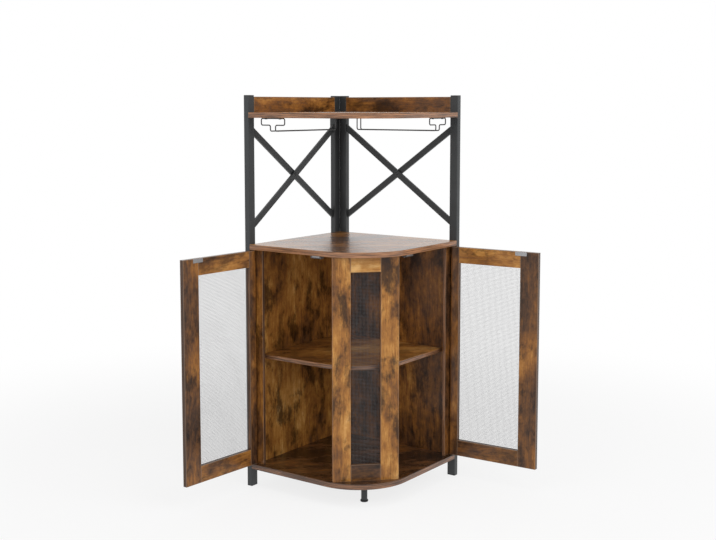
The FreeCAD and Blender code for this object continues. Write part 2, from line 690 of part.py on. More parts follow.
def make_catches():
    """Magnetic catches under the counter, one behind each closed door."""
    v = plate_place()[0]
    front = catch_front()
    half_w = PLATE_W / 2
    body = block(front - CATCH_T, front, v - half_w, v + half_w, COUNTER_UNDER - CATCH_H, COUNTER_UNDER)
    near_v = v - MAGNET_W / 2
    far_v = v + MAGNET_W / 2
    low = COUNTER_UNDER - (CATCH_H + MAGNET_H) / 2
    high = low + MAGNET_H
    back = front - MAGNET_T
    magnet = block(back, front, near_v, far_v, low, high)
    pocket = block(back - HOLE_GAP, front + CUT_RUN, near_v - HOLE_GAP, far_v + HOLE_GAP,
                   low - HOLE_GAP, high + HOLE_GAP)
    add_group("catch_bodies", cut_all(body, [pocket] + catch_screw_holes()))
    add_group("catch_magnets", magnet)
    for place in catch_screw_places():
        reach = CATCH_H + CLIP_SCREW_GRIP
        add_group("catch_screws", headed_pin(CLIP_SCREW_D, reach, CLIP_HEAD_D, SCREW_HEAD_T, place, UP))


def bent_path(points, radius):
    """Straight runs joined by tangent arcs."""
    edges = []
    start = points[0]
    for before, corner, after in zip(points, points[1:], points[2:]):
        arrive = (before - corner).normalize()
        leave = (after - corner).normalize()
        half = arrive.getAngle(leave) / 2
        back = radius / math.tan(half)
        first = corner + arrive * back
        last = corner + leave * back
        centre = corner + (arrive + leave).normalize() * (radius / math.sin(half))
        middle = centre + (corner - centre).normalize() * radius
        edges.append(Part.LineSegment(start, first).toShape())
        edges.append(Part.Arc(first, middle, last).toShape())
        start = last
    edges.append(Part.LineSegment(start, points[-1]).toShape())
    return Part.Wire(edges)


def rack_half():
    """Half of a stemware rack, from the middle of its front cross wire to that of its rear one."""
    front = SIDE - RACK_SETBACK
    rear = front - RACK_LENGTH
    mid = RACK_FROM_WALL
    mouth = mid + RACK_MOUTH / 2
    slot = mid + RACK_SLOT / 2
    top = SHELF_UNDER - WIRE_D / 2
    step = SHELF_UNDER - RACK_STEP
    rail = SHELF_UNDER - RACK_DROP
    points = [Vector(front, mid, top), Vector(front, mouth, top), Vector(front, mouth, step),
              Vector(front, slot, step), Vector(front, slot, rail), Vector(rear, slot, rail),
              Vector(rear, slot, top), Vector(rear, mid, top)]
    path = bent_path(points, RACK_BEND)
    section = Part.Wire([Part.makeCircle(WIRE_D / 2, points[0], Vector(0, 1, 0))])
    return path.makePipeShell([section], True, False)


def rack_screw_holes():
    low = SHELF_UNDER - 2 * WIRE_D
    return [rod(CLIP_SCREW_D + 2 * HOLE_GAP, Vector(rack_screw_axis(u, side), v, low), UP,
                2 * WIRE_D + CLIP_SCREW_GRIP + CUT_RUN) for u, v, side in rack_clip_places()]


def rack_clip(u, v, side):
    """Saddle over the cross wire with one ear that is screwed to the shelf."""
    grip_r = WIRE_D / 2 + HOLE_GAP
    outer_r = grip_r + CLIP_T
    axis_z = SHELF_UNDER - WIRE_D / 2
    v0 = v - CLIP_W / 2
    v1 = v + CLIP_W / 2
    start = Vector(u, v0, axis_z)
    along = Vector(0, 1, 0)
    saddle = Part.makeCylinder(outer_r, CLIP_W, start, along)
    legs = block(u - outer_r, u + outer_r, v0, v1, axis_z, SHELF_UNDER)
    ear_far = u + side * (outer_r + CLIP_EAR)
    ear = block(min(u, ear_far), max(u, ear_far), v0, v1, SHELF_UNDER - CLIP_T, SHELF_UNDER)
    bore = Part.makeCylinder(grip_r, CLIP_W, start, along)
    throat = block(u - grip_r, u + grip_r, v0, v1, axis_z, SHELF_UNDER)
    above = block(u - outer_r, u + outer_r, v - CLIP_W, v + CLIP_W, SHELF_UNDER, SHELF_UNDER + outer_r)
    return saddle.fuse([legs, ear]).cut(Part.makeCompound([bore, throat, above]))


def make_racks():
    half = rack_half()
    other = half.mirror(Vector(0, RACK_FROM_WALL, 0), Vector(0, 1, 0))
    rack = half.fuse(other).removeSplitter()
    add_pair("stemware_rack", rack)
    holes = rack_screw_holes()
    for u, v, side in rack_clip_places():
        add_group("rack_clips", cut_all(rack_clip(u, v, side), holes))
        foot = Vector(rack_screw_axis(u, side), v, SHELF_UNDER - CLIP_T)
        reach = CLIP_T + CLIP_SCREW_GRIP
        add_group("rack_screws", headed_pin(CLIP_SCREW_D, reach, CLIP_HEAD_D, SCREW_HEAD_T, foot, UP))


def leg_screw_places():
    ring = (LEG_D + LEG_PLATE_D) / 4
    places = []
    for index in range(LEG_SCREWS):
        turn = math.radians(90 + 360 * index / LEG_SCREWS)
        x = ring * math.cos(turn)
        y = ROW_Y - LEG_REACH + ring * math.sin(turn)
        places.append(Vector(x, y, BOTTOM_Z - LEG_PLATE_T))
    return places


def leg_screw_holes():
    length = LEG_PLATE_T + LEG_SCREW_GRIP + 2 * CUT_RUN
    return [rod(SCREW_D + 2 * HOLE_GAP, place - UP * CUT_RUN, UP, length)
            for place in leg_screw_places()]


def make_leg():
    """Round front foot: plate under the board, shaft, and a wider glide on the floor."""
    axis = Vector(0, ROW_Y - LEG_REACH, 0)
    plate_z = BOTTOM_Z - LEG_PLATE_T
    plate = rod(LEG_PLATE_D, axis + UP * plate_z, UP, LEG_PLATE_T)
    add("front_leg_plate", cut_all(plate, leg_screw_holes()))
    add("front_leg", rod(LEG_D, axis + UP * GLIDE_T, UP, plate_z - GLIDE_T))
    glide = rod(GLIDE_D, axis, UP, GLIDE_T)
    add("front_leg_glide", glide.makeChamfer(GLIDE_T / 5, [edge for edge in glide.Edges if edge.Closed]))
    for place in leg_screw_places():
        reach = LEG_PLATE_T + LEG_SCREW_GRIP
        add("leg_screws", headed_pin(SCREW_D, reach, SCREW_HEAD_D, SCREW_HEAD_T, place, UP))


def main():
    os.makedirs("parts", exist_ok=True)
    dowels, dowel_holes = case_dowels()
    add("case_dowels", *dowels)
    make_frames()
    make_boards(dowel_holes)
    make_case(dowel_holes)
    make_centre_panel(dowel_holes)
    make_doors()
    make_catches()
    make_racks()
    make_leg()
    for node, solids in pieces.items():
        shape = solids[0] if len(solids) == 1 else Part.makeCompound(solids)
        shape.exportStep("parts/" + node + ".step")
    print(len(pieces), "pieces")


main()
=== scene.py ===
"""Looks of the corner bar cabinet: rustic printed boards, black powder coat, woven wire and small hardware.

Metres, +Z up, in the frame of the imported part: +Y points at the room's corner, the rounded front faces -Y.
"""
import json
import math
from functools import partial

import bpy
import numpy as np
from mathutils import Matrix, Vector

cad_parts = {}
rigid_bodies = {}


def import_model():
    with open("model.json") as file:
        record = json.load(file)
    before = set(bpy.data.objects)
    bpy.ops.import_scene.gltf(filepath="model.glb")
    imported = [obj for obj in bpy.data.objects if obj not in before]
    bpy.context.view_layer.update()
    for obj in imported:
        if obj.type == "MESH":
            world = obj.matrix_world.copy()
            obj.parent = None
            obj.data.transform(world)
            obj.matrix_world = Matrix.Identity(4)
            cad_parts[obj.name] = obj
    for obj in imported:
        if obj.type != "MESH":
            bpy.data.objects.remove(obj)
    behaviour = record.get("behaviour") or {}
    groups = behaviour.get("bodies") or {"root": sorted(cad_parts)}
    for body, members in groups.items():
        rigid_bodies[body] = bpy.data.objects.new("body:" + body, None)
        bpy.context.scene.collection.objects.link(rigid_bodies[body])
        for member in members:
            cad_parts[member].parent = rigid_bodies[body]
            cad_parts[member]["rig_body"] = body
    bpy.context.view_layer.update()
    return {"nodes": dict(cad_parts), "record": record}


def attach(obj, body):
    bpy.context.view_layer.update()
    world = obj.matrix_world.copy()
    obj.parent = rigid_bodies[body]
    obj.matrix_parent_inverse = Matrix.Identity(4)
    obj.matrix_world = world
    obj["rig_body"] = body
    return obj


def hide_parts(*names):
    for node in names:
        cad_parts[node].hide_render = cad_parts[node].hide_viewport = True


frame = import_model()
NODES = frame["nodes"]

UP = Vector((0, 0, 1))
LEVEL = Vector((1, 0, 0))
DEPTH = Vector((0, 1, 0))
LEFT_WALL = Vector((-1, -1, 0))     # along the left wall, away from the room's corner
RIGHT_WALL = Vector((1, -1, 0))

# Camera, fitted to the photograph's post, board and door edges
CAMERA_PLACE = (-0.595, -3.8879, 1.2977)
CAMERA_YAW = 8.979      # degrees towards +X from looking along +Y
CAMERA_PITCH = 6.0      # degrees below the horizon
CAMERA_LENS = 57.97
CAMERA_SENSOR = 36.0
CAMERA_SHIFT = -0.0614

# World, floor and lights
WHITE = (1.0, 1.0, 1.0, 1.0)
WORLD_LIGHT = 0.44      # strength of the white world as a light
WORLD_SEEN = 1.0        # its strength where it shows
FLOOR_SIZE = 30.0
FLOOR_PLACE = (0.0, 0.0, -0.0005)
FLOOR_COLOUR = (0.86, 0.86, 0.86, 1.0)
FLOOR_ROUGHNESS = 0.9
# Distances between which the floor turns from nearly white to white, and its share of plain white at each
FLOOR_FADE = (0.9, 2.6, 0.8, 1.0)
LIGHT_AIM = Vector((0.0, 0.0, 0.65))
# Name, place, width and power of each square area light
LIGHTS = (
    ("key", (2.4, -3.3, 2.8), 3.6, 92.0),
    ("fill", (-2.6, -2.9, 2.2), 3.0, 38.0),
    ("top", (0.0, -0.6, 3.6), 2.4, 25.0),
)

# Edges that bend by more than these angles stay sharp
NODE_SMOOTH = math.radians(30)
HEAD_SMOOTH = math.radians(35)

# Woven mesh
MESH_NODES = ("left_door_mesh", "right_door_mesh", "centre_mesh")
MESH_PITCH = 0.0045
WIRE_D = 0.00072
WIRE_SIDES = 4
WIRE_SCALE = 60.0       # of the noise that changes its grey and its sheen
WIRE_TONES = ((0.3, (0.1, 0.1, 0.104, 1.0)), (0.7, (0.16, 0.16, 0.165, 1.0)))
WIRE_ROUGHNESS = (0.3, 0.7, 0.35, 0.5)      # two ends of the noise, and the roughness at each
WIRE_METALLIC = 0.4

# Fasteners: the kind in each node, and shares of a head's or shank's size that shape them
FASTENERS = {
    "frame_bolts": "hex",
    "brace_rivets": "rivet",
    "fence_screws": "cross",
    "leg_screws": "cross",
    "rack_screws": "cross",
    "catch_screws": "cross",
}
HEAD_AXES = (UP, Vector((1, 1, 0)).normalized(), Vector((1, -1, 0)).normalized())
TURN_SIDES = 36
TURNS = [(step + 0.5) * 2 * math.pi / TURN_SIDES for step in range(TURN_SIDES)]
DOME_STEPS = 5
RIVET_SHANK = 0.55
RIVET_TOP = 0.2         # flat top and upright rim
RIVET_RIM = 0.2
HEAD_TOP = 0.62
HEAD_RIM = 0.3
SHANK_TIP = 0.8         # radius at the end, and length of the taper there
SHANK_TAPER = 0.4
HEX_FLAT = 0.34         # sizes of the drives, and the height of their floor
CROSS_REACH = 0.5
CROSS_HALF = 0.13
DRIVE_FLOOR = 0.25
TINY = 1e-6             # keeps divisions finite

# How points of a plain pin are told apart
RIM_SHARE = 0.98        # of the largest radius
SAME_HEIGHT = 1e-5
SAME_DIGITS = 6

# Coats, mouldings and bare wood by material slot:
# name, colour, roughness, scale and depth of the texture, metallic
COATS = {
    "black_steel": ("black_powder_coat", (0.034, 0.037, 0.039, 1.0), 0.42, 1400.0, 0.00006, 0.0),
    "black_plastic": ("black_moulded_plastic", (0.02, 0.02, 0.021, 1.0), 0.5, 900.0, 0.00008, 0.0),
    "grey_plastic": ("grey_moulded_plastic", (0.11, 0.11, 0.11, 1.0), 0.45, 900.0, 0.00005, 0.0),
    "zinc": ("zinc_plate", (0.42, 0.42, 0.43, 1.0), 0.38, 700.0, 0.00004, 1.0),
    "rack_wire": ("coated_rack_wire", (0.05, 0.05, 0.052, 1.0), 0.3, 1200.0, 0.00003, 0.0),
    "plain_wood": ("bare_beech", (0.62, 0.45, 0.28, 1.0), 0.6, 800.0, 0.00006, 0.0),
}
PIT_SHADE = 0.55        # colour of the texture's pits, as a share of the coat's
PIT_MASK = (0.35, 0.65, 0.0, 0.25)      # two ends of the noise, and the share of that colour at each
SHEEN_SCALE = 14.0      # of the slow noise, then its two ends and the roughness at each
SHEEN_RANGE = (0.3, 0.7)
SHEEN_SHARES = (0.85, 1.15)
COAT_BUMP = 0.5

# Colours of the print, written as they show on a display
SRGB_TONES = {
    "soot": (34, 23, 16),
    "bark": (62, 41, 27),
    "umber": (97, 64, 38),
    "chestnut": (133, 86, 41),
    "amber": (168, 113, 52),
    "honey": (196, 141, 73),
    "straw": (222, 175, 110),
    "edge_dark": (92, 64, 46),
    "edge_light": (184, 130, 91),
    # pale colour of the long corners: wear of the paper, with a painted highlight
    "worn_and_lit": (150, 122, 98),
}
GRAIN_TONES = ("soot", "bark", "umber", "chestnut", "amber", "honey", "straw")
BAND_TONES = {"bark": 0.0, "edge_dark": 0.42, "edge_light": 1.0}

# Linear colours that the marks multiply the print by
SMOKE_DARK = (0.19, 0.185, 0.2, 1.0)
CRACK_DARK = (0.34, 0.30, 0.28, 1.0)
KNOT_DARK = (0.22, 0.18, 0.16, 1.0)

# Sockets of the print's node group
PRINT_INPUTS = {
    "Place": "Vector",
    "Facing": "Vector",
    "Half": "Vector",
    "Shift": "Vector",
    "Tone": "Float",
    "Smoke": "Float",
    "Edge": "Float",
}
PRINT_OUTPUTS = {"Color": "Color", "Roughness": "Float", "Height": "Float"}

# Noises of the print: scale along, across and through a board, detail and roughness
NOISE_MIDDLE = 0.5
PRINT_NOISE = {
    "slow_bend": ((2.6, 6.0, 6.0), 3.0, 0.5),
    "fine_bend": ((17.0, 32.0, 32.0), 5.0, 0.6),
    "broad": ((3.0, 8.0, 8.0), 5.0, 0.6),
    "blotch": ((26.0, 48.0, 48.0), 8.0, 0.7),
    "fibre": ((4.5, 105.0, 105.0), 6.0, 0.64),
    "hair": ((18.0, 520.0, 520.0), 4.0, 0.6),
    "smoke": ((7.5, 13.0, 13.0), 9.0, 0.66),
    "smudge": ((21.0, 36.0, 36.0), 6.0, 0.6),
    "line": ((3.4, 60.0, 60.0), 3.0, 0.55),
    "sparse": ((4.0, 8.0, 8.0), 3.0, 0.5),
    "band": ((10.0, 10.0, 360.0), 5.0, 0.68),
}
NOISE_OFFSET = {"smoke": (7.3, 2.1, 4.4), "smudge": (1.9, 8.4, 3.1)}
BENDS = {"slow_bend": 0.05, "fine_bend": 0.006}     # metres that the grain moves aside
GRAINS = {"broad": 1.6, "blotch": 0.75, "fibre": 0.5, "hair": 0.4}      # weights in the tone

# Masks of the print: the two ends of a value, and what they turn into
SMOKE_MASKS = {"smoke": (0.48, 0.63, 0.0, 1.0), "smudge": (0.56, 0.7, 0.0, 0.8)}
SMOKE_FRAY = {"smoke": 0.28, "smudge": 0.2}     # weight of the fibre at their borders
CRACK_MASK = (0.0, 0.016, 0.85, 0.0)
CRACK_PLACES = (0.46, 0.6, 0.0, 1.0)
CRACK_DEPTH = 0.8
KNOT_CELLS = (6.5, 14.0, 14.0)      # scale of the cells that may hold a knot
KNOT_CHANCE = (0.55, 0.6, 0.0, 1.0)
KNOT_WARP = 0.16
KNOT_RINGS = 105.0
RING_MASK = (-1.0, 1.0, 0.15, 0.6)
HALO_MASK = (0.08, 0.26, 0.8, 0.0)
HEART_MASK = (0.05, 0.1, 1.0, 0.0)
NARROW_MASK = (0.3, 0.75, 1.0, 0.0)
BAND_MASK = (0.3, 0.7, 0.0, 1.0)
# the paler line along the long corners: wear, with a painted highlight of the edges
WEAR_AND_HIGHLIGHT_MASK = (0.0006, 0.0026, 0.45, 0.0)
WEAR_AND_HIGHLIGHT_WAVER = 0.004
PRINT_ROUGHNESS = (0.25, 0.75, 0.29, 0.18)
PRINT_BUMP = (0.00025, 0.35)        # height and strength

# Finish of the boards
SEED_STEP = (1.37, 0.71, 0.29)      # how far the print moves from one board to the next
NO_CORNERS = (9.0, 9.0, 9.0)        # half sizes that no board reaches, for boards with rounded corners
FLAT_POLISH = 0.22      # clear coat of the boards that lie flat
POLISH_ROUGHNESS = 0.36
UPRIGHT_GLOSS = 0.35    # specular level of the upright boards

# Boards: direction of the grain, direction through the board, then tone, smoke and edge of the print; some
# tones and edges also hold painted light and shade, as noted
ROUNDED_BOARDS = {
    "counter_top": (LEVEL, UP, 0.0, 0.6, 0.2),
    "top_shelf": (LEVEL, UP, 0.0, 0.6, 0.14),
    # the bottom board's low tone also stands for shade on its top: painted shade
    "bottom_board": (LEVEL, UP, -0.26, 0.6, -0.05),
    "mid_shelf": (LEVEL, UP, 0.14, 0.6, 0.05),
}
STRAIGHT_BOARDS = {
    "left_fence": (LEFT_WALL, RIGHT_WALL, 0.04, 0.9, -0.1),
    "right_fence": (RIGHT_WALL, LEFT_WALL, -0.1, 0.8, -0.1),
    # the left wall panel's tone is set lighter and the right one's darker, for light that falls on the left
    # one's inside and not the right one's: painted light and shade
    "left_wall_panel": (UP, RIGHT_WALL, 0.12, 0.95, -0.2),
    "right_wall_panel": (UP, LEFT_WALL, -0.06, 0.9, -0.2),
    # the left hinge strip's tone and the right one's edge are set lighter, to lighten the shaded gap beside
    # the hinge stiles: painted light
    "left_hinge_strip": (UP, LEFT_WALL, -0.04, 0.8, -0.3),
    "right_hinge_strip": (UP, RIGHT_WALL, -0.18, 0.8, 0.1),
    "centre_left_stile": (UP, DEPTH, 0.04, 1.0, 0.4),
    "centre_right_stile": (UP, DEPTH, 0.23, 1.0, 0.4),
    "centre_top_rail": (LEVEL, DEPTH, 0.42, 0.2, 0.0),
    "centre_bottom_rail": (LEVEL, DEPTH, -0.08, 0.8, -0.2),
}
# Tone, smoke and edge of the doors' boards, whose directions come from the open doors
DOOR_BOARDS = {
    "left_door_": {
        # the hinge stile's edge is set paler than the other boards' to lighten the shaded gap at the hinge
        # strip: painted light
        "hinge_stile": (-0.08, 0.8, -0.1),
        "free_stile": (-0.16, 1.0, -0.4),
        "top_rail": (0.18, 0.8, -0.3),
        "bottom_rail": (0.12, 0.8, -0.3),
    },
    "right_door_": {
        # the hinge stile's edge is set paler than the other boards' to lighten the shaded gap at the hinge
        # strip: painted light
        "hinge_stile": (-0.08, 0.8, -0.1),
        "free_stile": (-0.1, 1.0, -0.4),
        "top_rail": (0.1, 0.8, -0.3),
        "bottom_rail": (-0.04, 0.8, -0.3),
    },
}


def linear(srgb):
    """Scene-linear colour of an 8-bit display colour."""
    parts = [value / 255 for value in srgb]
    return tuple(p / 12.92 if p <= 0.04045 else ((p + 0.055) / 1.055) ** 2.4 for p in parts) + (1.0,)


TONE = {name: linear(value) for name, value in SRGB_TONES.items()}


class Graph:
    """Short ways to add and join the nodes of one tree."""

    MIX_FIRST = 6       # colour sockets of the mix node
    MIX_SECOND = 7
    MIX_RESULT = 2

    def __init__(self, tree):
        self.tree = tree

    def add(self, kind, **settings):
        node = self.tree.nodes.new(kind)
        for name, value in settings.items():
            setattr(node, name, value)
        return node

    def feed(self, socket, source):
        """Links a node's socket, or writes a plain value, into an input."""
        if isinstance(source, bpy.types.NodeSocket):
            self.tree.links.new(source, socket)
        else:
            socket.default_value = source

    def math(self, operation, first, second=0.0, third=0.0):
        node = self.add("ShaderNodeMath", operation=operation)
        for socket, source in zip(node.inputs, (first, second, third)):
            self.feed(socket, source)
        return node.outputs[0]

    def vector(self, operation, first, second=(0.0, 0.0, 0.0)):
        node = self.add("ShaderNodeVectorMath", operation=operation)
        self.feed(node.inputs[0], first)
        self.feed(node.inputs[1], second)
        return node.outputs[0]

    def scaled(self, vector, factors):
        return self.vector("MULTIPLY", vector, factors)

    def shifted(self, vector, offset):
        return self.vector("ADD", vector, offset)

    def parts(self, vector):
        """The three numbers of a vector."""
        node = self.add("ShaderNodeSeparateXYZ")
        self.feed(node.inputs[0], vector)
        return node.outputs

    def centred(self, value, weight):
        """Noise about zero, weighted."""
        return self.math("MULTIPLY", self.math("SUBTRACT", value, NOISE_MIDDLE), weight)

    def noise(self, vector, detail, roughness=0.5):
        """Fractal noise of unit scale; the vector carries the scale."""
        node = self.add("ShaderNodeTexNoise")
        self.feed(node.inputs["Vector"], vector)
        node.inputs["Scale"].default_value = 1.0
        node.inputs["Detail"].default_value = detail
        node.inputs["Roughness"].default_value = roughness
        return node.outputs["Fac"]

    def spread(self, value, low, high, out_low, out_high, smooth=False):
        """Maps low..high onto out_low..out_high, clamped."""
        node = self.add("ShaderNodeMapRange", interpolation_type="SMOOTHSTEP" if smooth else "LINEAR")
        for socket, source in zip(node.inputs, (value, low, high, out_low, out_high)):
            self.feed(socket, source)
        return node.outputs[0]

    def mix(self, factor, first, second, blend="MIX"):
        node = self.add("ShaderNodeMix", data_type="RGBA", blend_type=blend)
        self.feed(node.inputs[0], factor)
        self.feed(node.inputs[self.MIX_FIRST], first)
        self.feed(node.inputs[self.MIX_SECOND], second)
        return node.outputs[self.MIX_RESULT]

    def ramp(self, value, stops):
        """Colours between the stops, each a place and a colour."""
        node = self.add("ShaderNodeValToRGB")
        self.feed(node.inputs[0], value)
        elements = node.color_ramp.elements
        while len(elements) < len(stops):
            elements.new(0.5)
        for element, (place, colour) in zip(elements, stops):
            element.position = place
            element.color = colour
        return node.outputs[0]

    def bump(self, height, distance, strength):
        node = self.add("ShaderNodeBump")
        self.feed(node.inputs["Height"], height)
        node.inputs["Distance"].default_value = distance
        node.inputs["Strength"].default_value = strength
        return node.outputs["Normal"]


def new_material(name):
    """A bare material with its graph and its surface shader."""
    material = bpy.data.materials.new(name)
    material.use_nodes = True
    graph = Graph(material.node_tree)
    shader = material.node_tree.nodes["Principled BSDF"]
    return material, graph, shader


def new_piece(name, vertices, faces, material):
    """A mesh object of one material, in the scene."""
    mesh = bpy.data.meshes.new(name)
    mesh.from_pydata(vertices, [], faces)
    mesh.materials.append(material)
    piece = bpy.data.objects.new(name, mesh)
    bpy.context.scene.collection.objects.link(piece)
    return piece


def shade_smooth(mesh, angle):
    """Smooth shading, with edges sharper than the angle kept sharp."""
    mesh.polygons.foreach_set("use_smooth", [True] * len(mesh.polygons))
    mesh.set_sharp_from_angle(angle=angle)


def node_points(node):
    """Vertices of a node as an array."""
    return np.array([vertex.co for vertex in NODES[node].data.vertices], float)


def print_noise(graph, vector, name):
    """One of the print's noises."""
    scale, detail, roughness = PRINT_NOISE[name]
    vector = graph.scaled(vector, scale)
    if name in NOISE_OFFSET:
        vector = graph.shifted(vector, NOISE_OFFSET[name])
    return graph.noise(vector, detail, roughness)


def bent_place(graph, seeded):
    """Places in the print, moved aside so that the grain bends slowly and wavers finely."""
    slow, fine = [graph.centred(print_noise(graph, seeded, name), reach) for name, reach in BENDS.items()]
    bend = graph.add("ShaderNodeCombineXYZ")
    graph.feed(bend.inputs["Y"], graph.math("ADD", slow, fine))
    return graph.shifted(seeded, bend.outputs[0])


def smoke_mask(graph, place, fibre):
    """Large smoked patches and smaller smudges, frayed along the fibre."""
    masks = []
    for name, mask in SMOKE_MASKS.items():
        frayed = graph.math("ADD", print_noise(graph, place, name), graph.centred(fibre, SMOKE_FRAY[name]))
        masks.append(graph.spread(frayed, *mask, smooth=True))
    return graph.math("MAXIMUM", *masks)


def crack_mask(graph, place):
    """Thin lines along the grain, in some places only."""
    line = graph.math("ABSOLUTE", graph.centred(print_noise(graph, place, "line"), 1.0))
    sparse = graph.spread(print_noise(graph, place, "sparse"), *CRACK_PLACES)
    return graph.math("MULTIPLY", graph.spread(line, *CRACK_MASK), sparse)


def knot_mask(graph, place, blotch):
    """A few knots, each a dark heart with rings about it."""
    cells = graph.add("ShaderNodeTexVoronoi", feature="F1")
    graph.feed(cells.inputs["Vector"], graph.scaled(place, KNOT_CELLS))
    cells.inputs["Scale"].default_value = 1.0
    away = graph.math("ADD", cells.outputs["Distance"], graph.centred(blotch, KNOT_WARP))
    chance = graph.add("ShaderNodeSeparateColor")
    graph.feed(chance.inputs[0], cells.outputs["Color"])
    picked = graph.spread(chance.outputs[0], *KNOT_CHANCE)
    wave = graph.math("SINE", graph.math("MULTIPLY", away, KNOT_RINGS))
    rings = graph.spread(wave, *RING_MASK)
    halo = graph.math("MULTIPLY", graph.spread(away, *HALO_MASK, smooth=True), rings)
    heart = graph.spread(away, *HEART_MASK, smooth=True)
    return graph.math("MULTIPLY", graph.math("MAXIMUM", halo, heart), picked)


def with_sides(graph, given, seeded, blotch, colour):
    """Adds banded narrow sides, and a paler line where the paper wraps over the long corners: partly wear of
    the paper, partly a painted highlight of the edges.
    """
    facing = graph.parts(given["Facing"])
    narrow = graph.spread(graph.math("ABSOLUTE", facing[2]), *NARROW_MASK, smooth=True)
    band = graph.spread(print_noise(graph, seeded, "band"), *BAND_MASK)
    band = graph.math("ADD", band, given["Edge"])
    band_colour = graph.ramp(band, [(place, TONE[name]) for name, place in BAND_TONES.items()])
    colour = graph.mix(narrow, colour, band_colour)
    inside = graph.vector("SUBTRACT", given["Half"], graph.vector("ABSOLUTE", given["Place"]))
    along, across, through = graph.parts(inside)
    on_face = graph.math("MINIMUM", along, across)
    to_side = graph.math("SUBTRACT", through, on_face)
    nearest = graph.math("MULTIPLY_ADD", narrow, to_side, on_face)
    nearest = graph.math("ADD", nearest, graph.centred(blotch, WEAR_AND_HIGHLIGHT_WAVER))
    # paler long corners: wear, with a painted highlight of the edges
    return graph.mix(graph.spread(nearest, *WEAR_AND_HIGHLIGHT_MASK), colour, TONE["worn_and_lit"])


def print_group():
    """Node group of the rustic print. Places run along, across and through a board, from its middle."""
    tree = bpy.data.node_groups.new("rustic_print", "ShaderNodeTree")
    for way, sockets in (("INPUT", PRINT_INPUTS), ("OUTPUT", PRINT_OUTPUTS)):
        for name, kind in sockets.items():
            tree.interface.new_socket(name, in_out=way, socket_type="NodeSocket" + kind)
    graph = Graph(tree)
    given = graph.add("NodeGroupInput").outputs
    result = graph.add("NodeGroupOutput").inputs

    seeded = graph.shifted(given["Place"], given["Shift"])
    place = bent_place(graph, seeded)
    grains = {name: print_noise(graph, place, name) for name in GRAINS}
    tone = graph.math("ADD", given["Tone"], NOISE_MIDDLE)
    for name, weight in GRAINS.items():
        tone = graph.math("ADD", tone, graph.centred(grains[name], weight))
    last = len(GRAIN_TONES) - 1
    colour = graph.ramp(tone, [(step / last, TONE[name]) for step, name in enumerate(GRAIN_TONES)])

    smoke = graph.math("MULTIPLY", smoke_mask(graph, place, grains["fibre"]), given["Smoke"])
    crack = crack_mask(graph, place)
    knot = knot_mask(graph, place, grains["blotch"])
    for mask, dark in ((smoke, SMOKE_DARK), (crack, CRACK_DARK), (knot, KNOT_DARK)):
        colour = graph.mix(mask, colour, dark, "MULTIPLY")
    colour = with_sides(graph, given, seeded, grains["blotch"], colour)

    sunk = graph.math("MULTIPLY", crack, CRACK_DEPTH)
    graph.feed(result["Color"], colour)
    graph.feed(result["Roughness"], graph.spread(grains["fibre"], *PRINT_ROUGHNESS))
    graph.feed(result["Height"], graph.math("SUBTRACT", grains["fibre"], sunk))
    return tree


def board_frame(node, along, through):
    """Middle and half sizes of a node's box on the axes along, across and through the board."""
    axes = np.array([along, through.cross(along), through])
    points = node_points(node) @ axes.T
    low = points.min(0)
    high = points.max(0)
    return (low + high) / 2, (high - low) / 2


def rustic(node, group, seed, grain, face, tone, smoke, edge, straight):
    """Printed board whose grain runs along grain and whose broad side faces face."""
    material, graph, shader = new_material("rustic_" + node)
    along = grain.normalized()
    through = face.normalized()
    turn = Matrix((along, through.cross(along), through)).to_euler()
    middle, half = board_frame(node, along, through)
    coords = graph.add("ShaderNodeTexCoord")
    place = graph.add("ShaderNodeMapping", vector_type="POINT")
    graph.feed(place.inputs["Vector"], coords.outputs["Object"])
    place.inputs["Rotation"].default_value = turn
    place.inputs["Location"].default_value = -Vector(middle)
    facing = graph.add("ShaderNodeMapping", vector_type="VECTOR")
    graph.feed(facing.inputs["Vector"], coords.outputs["Normal"])
    facing.inputs["Rotation"].default_value = turn
    pattern = graph.add("ShaderNodeGroup")
    pattern.node_tree = group
    graph.feed(pattern.inputs["Place"], place.outputs[0])
    graph.feed(pattern.inputs["Facing"], facing.outputs[0])
    pattern.inputs["Half"].default_value = half if straight else NO_CORNERS
    pattern.inputs["Shift"].default_value = Vector(SEED_STEP) * seed
    pattern.inputs["Tone"].default_value = tone
    pattern.inputs["Smoke"].default_value = smoke
    pattern.inputs["Edge"].default_value = edge
    graph.feed(shader.inputs["Base Color"], pattern.outputs["Color"])
    graph.feed(shader.inputs["Roughness"], pattern.outputs["Roughness"])
    if straight:
        shader.inputs["Specular IOR Level"].default_value = UPRIGHT_GLOSS
    else:
        shader.inputs["Coat Weight"].default_value = FLAT_POLISH
        shader.inputs["Coat Roughness"].default_value = POLISH_ROUGHNESS
    graph.feed(shader.inputs["Normal"], graph.bump(pattern.outputs["Height"], *PRINT_BUMP))
    return material


def coated(name, colour, roughness, grain_scale, grain_depth, metallic):
    """Coated or moulded surface with a fine even texture and slow changes of sheen."""
    material, graph, shader = new_material(name)
    coords = graph.add("ShaderNodeTexCoord").outputs["Object"]
    fine = graph.noise(graph.scaled(coords, (grain_scale,) * 3), detail=2.0)
    slow = graph.noise(graph.scaled(coords, (SHEEN_SCALE,) * 3), detail=3.0)
    deep = tuple(PIT_SHADE * part for part in colour[:3]) + (1.0,)
    sheens = [share * roughness for share in SHEEN_SHARES]
    graph.feed(shader.inputs["Base Color"], graph.mix(graph.spread(fine, *PIT_MASK), colour, deep))
    graph.feed(shader.inputs["Roughness"], graph.spread(slow, *SHEEN_RANGE, *sheens))
    graph.feed(shader.inputs["Normal"], graph.bump(fine, grain_depth, COAT_BUMP))
    shader.inputs["Metallic"].default_value = metallic
    return material


